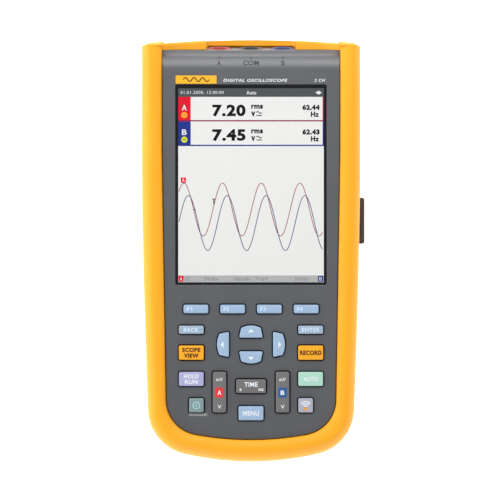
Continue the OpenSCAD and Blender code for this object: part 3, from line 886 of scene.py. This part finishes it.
# Layers lie a small step apart, from the window's face upwards
screen = {"wide": 86.4, "tall": 115.2, "middleY": 38.9, "statusBar": 5.1, "row": 13.8, "rule": 0.8,
          "footer": 4.1, "tag": 7.4, "base": 0.02, "step": 0.012}


def makeWindow():
    piece = softBox("screenWindow", tuple(windowLow), tuple(windowHigh), 1.0, 0.15)
    smooth(piece, 40)
    settle(piece, "instrument", materials["window"], ["screen_window"])


def makeScreenPicture():
    left, right = -screen["wide"] / 2, screen["wide"] / 2
    top = screen["middleY"] + screen["tall"] / 2
    low = screen["middleY"] - screen["tall"] / 2
    levels = [flat(windowHigh.z + screen["base"] + screen["step"] * i) for i in range(5)]
    body = "instrument"
    plate(body, "lcdField", rectangle(left, low, right, top), levels[0])
    barLow = top - screen["statusBar"]
    plate(body, "lcdBar", rectangle(left, barLow, right, top), levels[1])
    lettering(body, "lcdPale", "01.01.2000, 12:00:00", (left + 14.2, barLow + 2.5), 25.6, 2.1, levels[2], 0.0)
    lettering(body, "lcdPale", "Auto", (0.2, barLow + 2.5), 5.8, 2.2, levels[2], 0.02)
    diamond = [(38.2, barLow + 2.5), (40.2, barLow + 1.3), (42.0, barLow + 2.5), (40.2, barLow + 3.7)]
    plate(body, "lcdPale", diamond, levels[2])
    rowTop = barLow
    rows = (("A", "7.20", "62.44", "lcdRed", "lcdCrimson", "lcdOrange"),
            ("B", "7.45", "62.43", "lcdNavy", "lcdNavy", "lcdLime"))
    for letter, reading, rate, tag, rule, dot in rows:
        rowLow = rowTop - screen["row"]
        plate(body, tag, rectangle(left, rowLow, left + screen["tag"], rowTop), levels[1])
        plate(body, rule, rectangle(left, rowLow - screen["rule"], right, rowLow), levels[1])
        plate(body, rule, rectangle(right - 0.7, rowLow, right, rowTop), levels[1])
        lettering(body, "lcdPale", letter, (left + 3.6, rowLow + 7.4), 2.9, 3.4, levels[2], 0.03)
        plate(body, dot, arc((left + 3.6, rowLow + 3.0), 1.85, 0, 345, 23), levels[2])
        ribbon(body, "lcdGrey", [(left + 2.6, rowLow + 3.0), (left + 4.6, rowLow + 3.0)], 0.5, levels[3])
        lettering(body, "lcdBlack", reading, (-13.1, rowLow + 5.7), 19.8, 7.1, levels[2], 0.045)
        lettering(body, "lcdBlack", "rms", (3.6, rowLow + 7.9), 7.0, 2.4, levels[2], 0.05)
        lettering(body, "lcdBlack", "V", (1.3, rowLow + 3.6), 2.5, 3.0, levels[2], 0.09)
        wave = [(3.2 + 3.2 * i / 12, rowLow + 4.5 + 0.55 * math.sin(math.pi * i / 6)) for i in range(13)]
        ribbon(body, "lcdBlack", wave, 0.55, levels[2])
        ribbon(body, "lcdBlack", [(3.2, rowLow + 2.8), (6.4, rowLow + 2.8)], 0.55, levels[2])
        lettering(body, "lcdBlack", rate, (35.6, rowLow + 7.6), 10.2, 3.2, levels[2], 0.06)
        lettering(body, "lcdBlack", "Hz", (37.9, rowLow + 3.5), 4.8, 3.1, levels[2], 0.05)
        rowTop = rowLow - screen["rule"]
    makeTraces(left, right, levels)
    makeFooter(left, right, low, levels)


# Each trace: middle height, swing, period, place of its first crest
traces = {"traceRed": (24.5, 15.7, 22.93, -39.8), "traceBlue": (16.5, 16.3, 23.05, -37.2)}


def makeTraces(left, right, levels):
    for number, (shade, (middle, swing, period, crest)) in enumerate(traces.items()):
        line = []
        for i in range(241):
            x = left + 0.4 + (right - left - 1.2) * i / 240
            line.append((x, middle + swing * math.cos(2 * math.pi * (x - crest) / period)))
        ribbon("instrument", shade, line, 0.45, levels[1 + number])
    plate("instrument", "lcdRed", rectangle(-41.7, 40.4, -38.6, 43.5), levels[3])
    lettering("instrument", "lcdPale", "A", (-40.15, 41.95), 1.7, 2.1, levels[4], 0.02)
    ribbon("instrument", "lcdBlack", [(-22.1, 27.6), (-22.1, 30.9)], 0.55, levels[3])
    ribbon("instrument", "lcdBlack", [(-23.1, 30.7), (-21.1, 30.7)], 0.5, levels[3])
    ribbon("instrument", "lcdBlack", [(-34.2, 24.4), (-32.8, 24.4)], 0.5, levels[3])


def makeFooter(left, right, low, levels):
    high = low + screen["footer"]
    middle = (low + high) / 2
    plate("instrument", "lcdFoot", rectangle(left, low, right, high), levels[1])
    for words, x, shade in (("A", left + 1.7, "lcdRed"), ("B", right - 1.9, "lcdNavy")):
        plate("instrument", shade, rectangle(x - 1.5, low + 0.4, x + 1.5, high - 0.2), levels[2])
        lettering("instrument", "lcdPale", words, (x, middle), 1.6, 2.1, levels[3], 0.0)
    for words, x, wide in (("DC", left + 5.6, 3.0), ("5V/div", -23.6, 8.2), ("10ms/div", -5.2, 9.6),
                           ("Trig:A", 6.4, 7.4), ("5V/div", 30.0, 8.2)):
        lettering("instrument", "lcdGrey", words, (x, middle), wide, 2.1, levels[2], 0.0)


makeWindow()
makeScreenPicture()
print("screen made")

# Input sockets

# Places along y, radii, and the slant of the collar's face in degrees
socketLook = {"start": 107, "back": 117.6, "face": 122.1, "edge": 0.7, "slant": 15, "seat": 5.5, "mouth": 5.3,
              "bore": 4.5, "throat": 3.0, "steps": 48}


def makeSocket(node, shade):
    low, high = boxMm(node)
    x, z = (low.x + high.x) / 2, (low.z + high.z) / 2
    radius = (high.x - low.x) / 2
    start, back, face, edge = (socketLook[key] for key in ("start", "back", "face", "edge"))
    seat, mouth, bore, throat = (socketLook[key] for key in ("seat", "mouth", "bore", "throat"))
    slope = math.tan(math.radians(socketLook["slant"]))

    def around(r, y, slanted=False):
        points = []
        for i in range(socketLook["steps"]):
            a = 2 * math.pi * i / socketLook["steps"]
            px, pz = r * math.cos(a), r * math.sin(a)
            points.append((x + px, y - (pz * slope if slanted else 0), z + pz))
        return points
    rings = [around(throat, start), around(bore, start), around(seat, start + 0.2), around(seat, back),
             around(radius, back), around(radius, face - edge, True)]
    for i in range(1, 5):  # rounded edge of the collar
        t = math.radians(90 * i / 4)
        rings.append(around(radius - edge * (1 - math.cos(t)), face - edge * (1 - math.sin(t)), True))
    rings += [around(mouth, face, True), around(4.9, face - 0.15, True), around(4.55, face - 0.6, True),
              around(bore, face - 1.5, True), around(bore, 112), around(throat, 108)]
    piece = makeObject(node + "Collar", *loft(rings, closed=True))
    smooth(piece, 40)
    settle(piece, "instrument", materials[shade], [node])


makeSocket("jack_a", "jackRed")
makeSocket("jack_com", "jackBlack")
makeSocket("jack_b", "jackBlue")
print("sockets made")

# Strap bar, port cover and tilt stand


strapLook = {"thick": 3.5, "foot": 4, "footWide": 1.2, "footIn": 0.4}


def makeStrapBar():  # a bar on two feet, which are cut from one block
    low, high = boxMm("strap_bar")
    bar = softBox("strapBar", (high.x - strapLook["thick"], low.y, low.z), tuple(high), 1.4, 1.1)
    foot = strapLook["foot"]
    cutter = roundedBlock("strapRoom", (low.x - 4, low.y + foot, low.z - 5),
                          (high.x - strapLook["thick"] + 0.1, high.y - foot, high.z + 5), 0.8)
    right = high.x - strapLook["footWide"]
    block = roundedRect(right - low.x, high.y - low.y, 0.8)
    middle = ((low.x + right) / 2, (low.y + high.y) / 2)
    levels = (low.z + strapLook["footIn"], high.z - strapLook["footIn"])
    feet = makeObject("strapFeet", *loft([ring(block, z, middle) for z in levels]))
    carve(feet, [cutter])
    carve(bar, [feet], "UNION")
    smooth(bar, 35)
    settle(bar, "instrument", materials["strap"], ["strap_bar"])


coverLook = {"hingeIn": 1.6, "hingeUp": 1.5, "hingeRadius": 1.5, "grip": (3.4, 1.4), "gripEnds": 12}


def makePortCover():
    low, high = boxMm("port_cover")
    flapLow = (low.x + 0.1, low.y, low.z + coverLook["hingeUp"])
    cover = softBox("portCover", flapLow, tuple(high), 1.6, 0.5, "x")
    ends = coverLook["gripEnds"]
    gripLow, gripHigh = coverLook["grip"]
    grip = softBox("portGrip", (low.x + 0.02, low.y + ends, high.z - gripLow),
                   (low.x + 0.6, high.y - ends, high.z - gripHigh), 0.9, 0.25, "x")
    middle = (low.x + coverLook["hingeIn"], low.z + coverLook["hingeUp"])
    barrel = hingeBarrel(middle, coverLook["hingeRadius"], (low.y, high.y), "y", 24)
    carve(cover, [grip, barrel], "UNION")
    smooth(cover, 35)
    settle(cover, "port_cover", materials["cover"], ["port_cover"])


stand = {"legWidth": 15, "footBar": 18, "headBar": 14, "thick": (0.7, 3.9), "hingeRadius": 2.1,
         "hingeUp": 2.8, "grooves": 3, "groovePitch": 3.2, "grooveWide": 1.4, "grooveTop": 1.3}


def makeTiltStand():  # a frame with grip grooves at its foot
    low, high = boxMm("tilt_stand")
    hingeY = high.y - stand["hingeRadius"]
    plateLow, plateHigh = stand["thick"]
    body = softBox("tiltStand", (low.x, low.y, plateLow), (high.x, hingeY, plateHigh), 3.0, 0.7)
    leg = stand["legWidth"]
    cutters = [roundedBlock("window", (low.x + leg, low.y + stand["footBar"], -1),
                            (high.x - leg, hingeY - stand["headBar"], 6), 3)]
    for i in range(stand["grooves"]):
        y = low.y + stand["groovePitch"] * (i + 1)
        cutters.append(roundedBlock("groove", (low.x + 8, y, -1),
                                    (high.x - 8, y + stand["grooveWide"], stand["grooveTop"]), 0.6))
    carve(body, cutters)
    barrel = hingeBarrel((hingeY, stand["hingeUp"]), stand["hingeRadius"], (low.x, high.x), "x", 32)
    carve(body, [barrel], "UNION")
    smooth(body, 35)
    settle(body, "tilt_stand", materials["stand"], ["tilt_stand"])


makeStrapBar()
makePortCover()
makeTiltStand()
print("strap bar, port cover and stand made")

# CAD nodes that keep their shape
innerLooks = {
    "rearCase": ("rear_case", "battery_door"),
    "gasket": ("case_gasket",),
    "display": ("display_panel",),
    "steel": ("display_frame", "input_shield", "usb_ports", "clock_cell"),
    "flex": ("ribbon_cable",),
    "mat": ("keypad_mat",),
    "board": ("keypad_board", "main_board"),
    "contact": ("contact_domes", "jack_contacts", "battery_contacts"),
    "chips": ("board_components", "beeper", "power_inlet"),
    "radio": ("wireless_module",),
    "block": ("input_block",),
    "battery": ("battery_pack",),
    "screw": ("battery_door_screws", "case_screws", "board_screws", "port_cover_pin", "stand_pins"),
}
for look, nodes in innerLooks.items():
    dress(materials[look], nodes)
for node in ("rear_case", "battery_door", "usb_ports", "power_inlet"):
    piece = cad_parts[node]
    weld = piece.modifiers.new("weld", "WELD")
    weld.merge_threshold = 0.002 * mm
    edge = piece.modifiers.new("softEdge", "BEVEL")
    edge.width = 0.3 * mm
    edge.segments = 2
    edge.limit_method = "ANGLE"
    edge.angle_limit = math.radians(40)

# Printed marks become one piece for each body and ink
for (body, shade), (points, faces) in marks.items():
    piece = bpy.data.objects.new(body + "_" + shade, bpy.data.meshes.new(shade))
    piece.data.from_pydata([Vector(point) * mm for point in points], [], faces)
    scene.collection.objects.link(piece)
    settle(piece, body, inks[shade])
print("marks made:", len(marks))

# Floor, light and camera

# Camera: metres above the face, focal length in mm, and metres off the middle
view = {"height": 1.06, "lens": 128.6, "aside": (-0.0006, 0.0005)}
paper = {"reach": 3, "darker": 0.93, "lighter": 0.95, "glow": 0.8}


def makeFloor():
    reach = paper["reach"]
    mesh = bpy.data.meshes.new("floor")
    mesh.from_pydata([(x, y, 0) for x, y in rectangle(-reach, -reach, reach, reach)], [], [(0, 1, 2, 3)])
    floor = bpy.data.objects.new("floor", mesh)
    scene.collection.objects.link(floor)
    recipe = Recipe(bpy.data.materials.new("paper"))
    fibres = recipe.noise(240, 3)
    shade = recipe.mix(fibres, (*[paper["darker"]] * 3, 1.0), (*[paper["lighter"]] * 3, 1.0))
    mesh.materials.append(recipe.finish(Base_Color=shade, Roughness=0.9, Specular_IOR_Level=0.1,
                                        Emission_Color=shade, Emission_Strength=paper["glow"]))


# Lamps, all aimed at the origin: place in metres, size across and along, and power in watts
lamps = {
    "headPanel": {"at": (0.0, 0.86, 0.96), "size": (1.6, 0.5), "power": 13.5},
    "leftPanel": {"at": (-1.2, 0.15, 0.6), "size": (0.9, 1.2), "power": 8.0},
    "footPanel": {"at": (0.1, -1.15, 0.5), "size": (1.6, 0.6), "power": 5.5},
}
# Surroundings: brightness straight up, part way down, and in a band above the horizon
studio = {"top": 0.25, "slope": 0.4, "horizon": 1.0, "band": 0.36}


def makeLamps():
    for name, lamp in lamps.items():
        light = bpy.data.lights.new(name, "AREA")
        light.shape = "RECTANGLE"
        light.size, light.size_y = lamp["size"]
        light.energy = lamp["power"]
        holder = bpy.data.objects.new(name, light)
        holder.location = lamp["at"]
        holder.rotation_euler = (-Vector(lamp["at"])).to_track_quat("-Z", "Y").to_euler()
        scene.collection.objects.link(holder)


def makeStudio():
    recipe = Recipe(bpy.data.worlds.new("studio"), "Background")
    height = recipe.add("SeparateXYZ", None, {"Vector": recipe.add("TexCoord")}, output=2)
    levels = ((0.0, studio["horizon"]), (studio["band"], studio["horizon"]), (0.55, studio["slope"]),
              (1.0, studio["top"]))
    stops = [(spot, (level, level, level, 1.0)) for spot, level in levels]
    scene.world = recipe.finish(Color=recipe.add("ValToRGB", {"stops": stops}, {"Fac": height}))
    scene.view_settings.view_transform = "Standard"


def makeCamera():
    camera = bpy.data.cameras.new("camera")
    camera.lens = view["lens"]
    camera.sensor_width = 36
    camera.clip_end = 10
    holder = bpy.data.objects.new("camera", camera)
    holder.location = (view["aside"][0], view["aside"][1], faceTop * mm + view["height"])
    scene.collection.objects.link(holder)
    scene.camera = holder


makeFloor()
makeLamps()
makeStudio()
makeCamera()
print("floor, lamps and camera made")

bpy.context.view_layer.update()
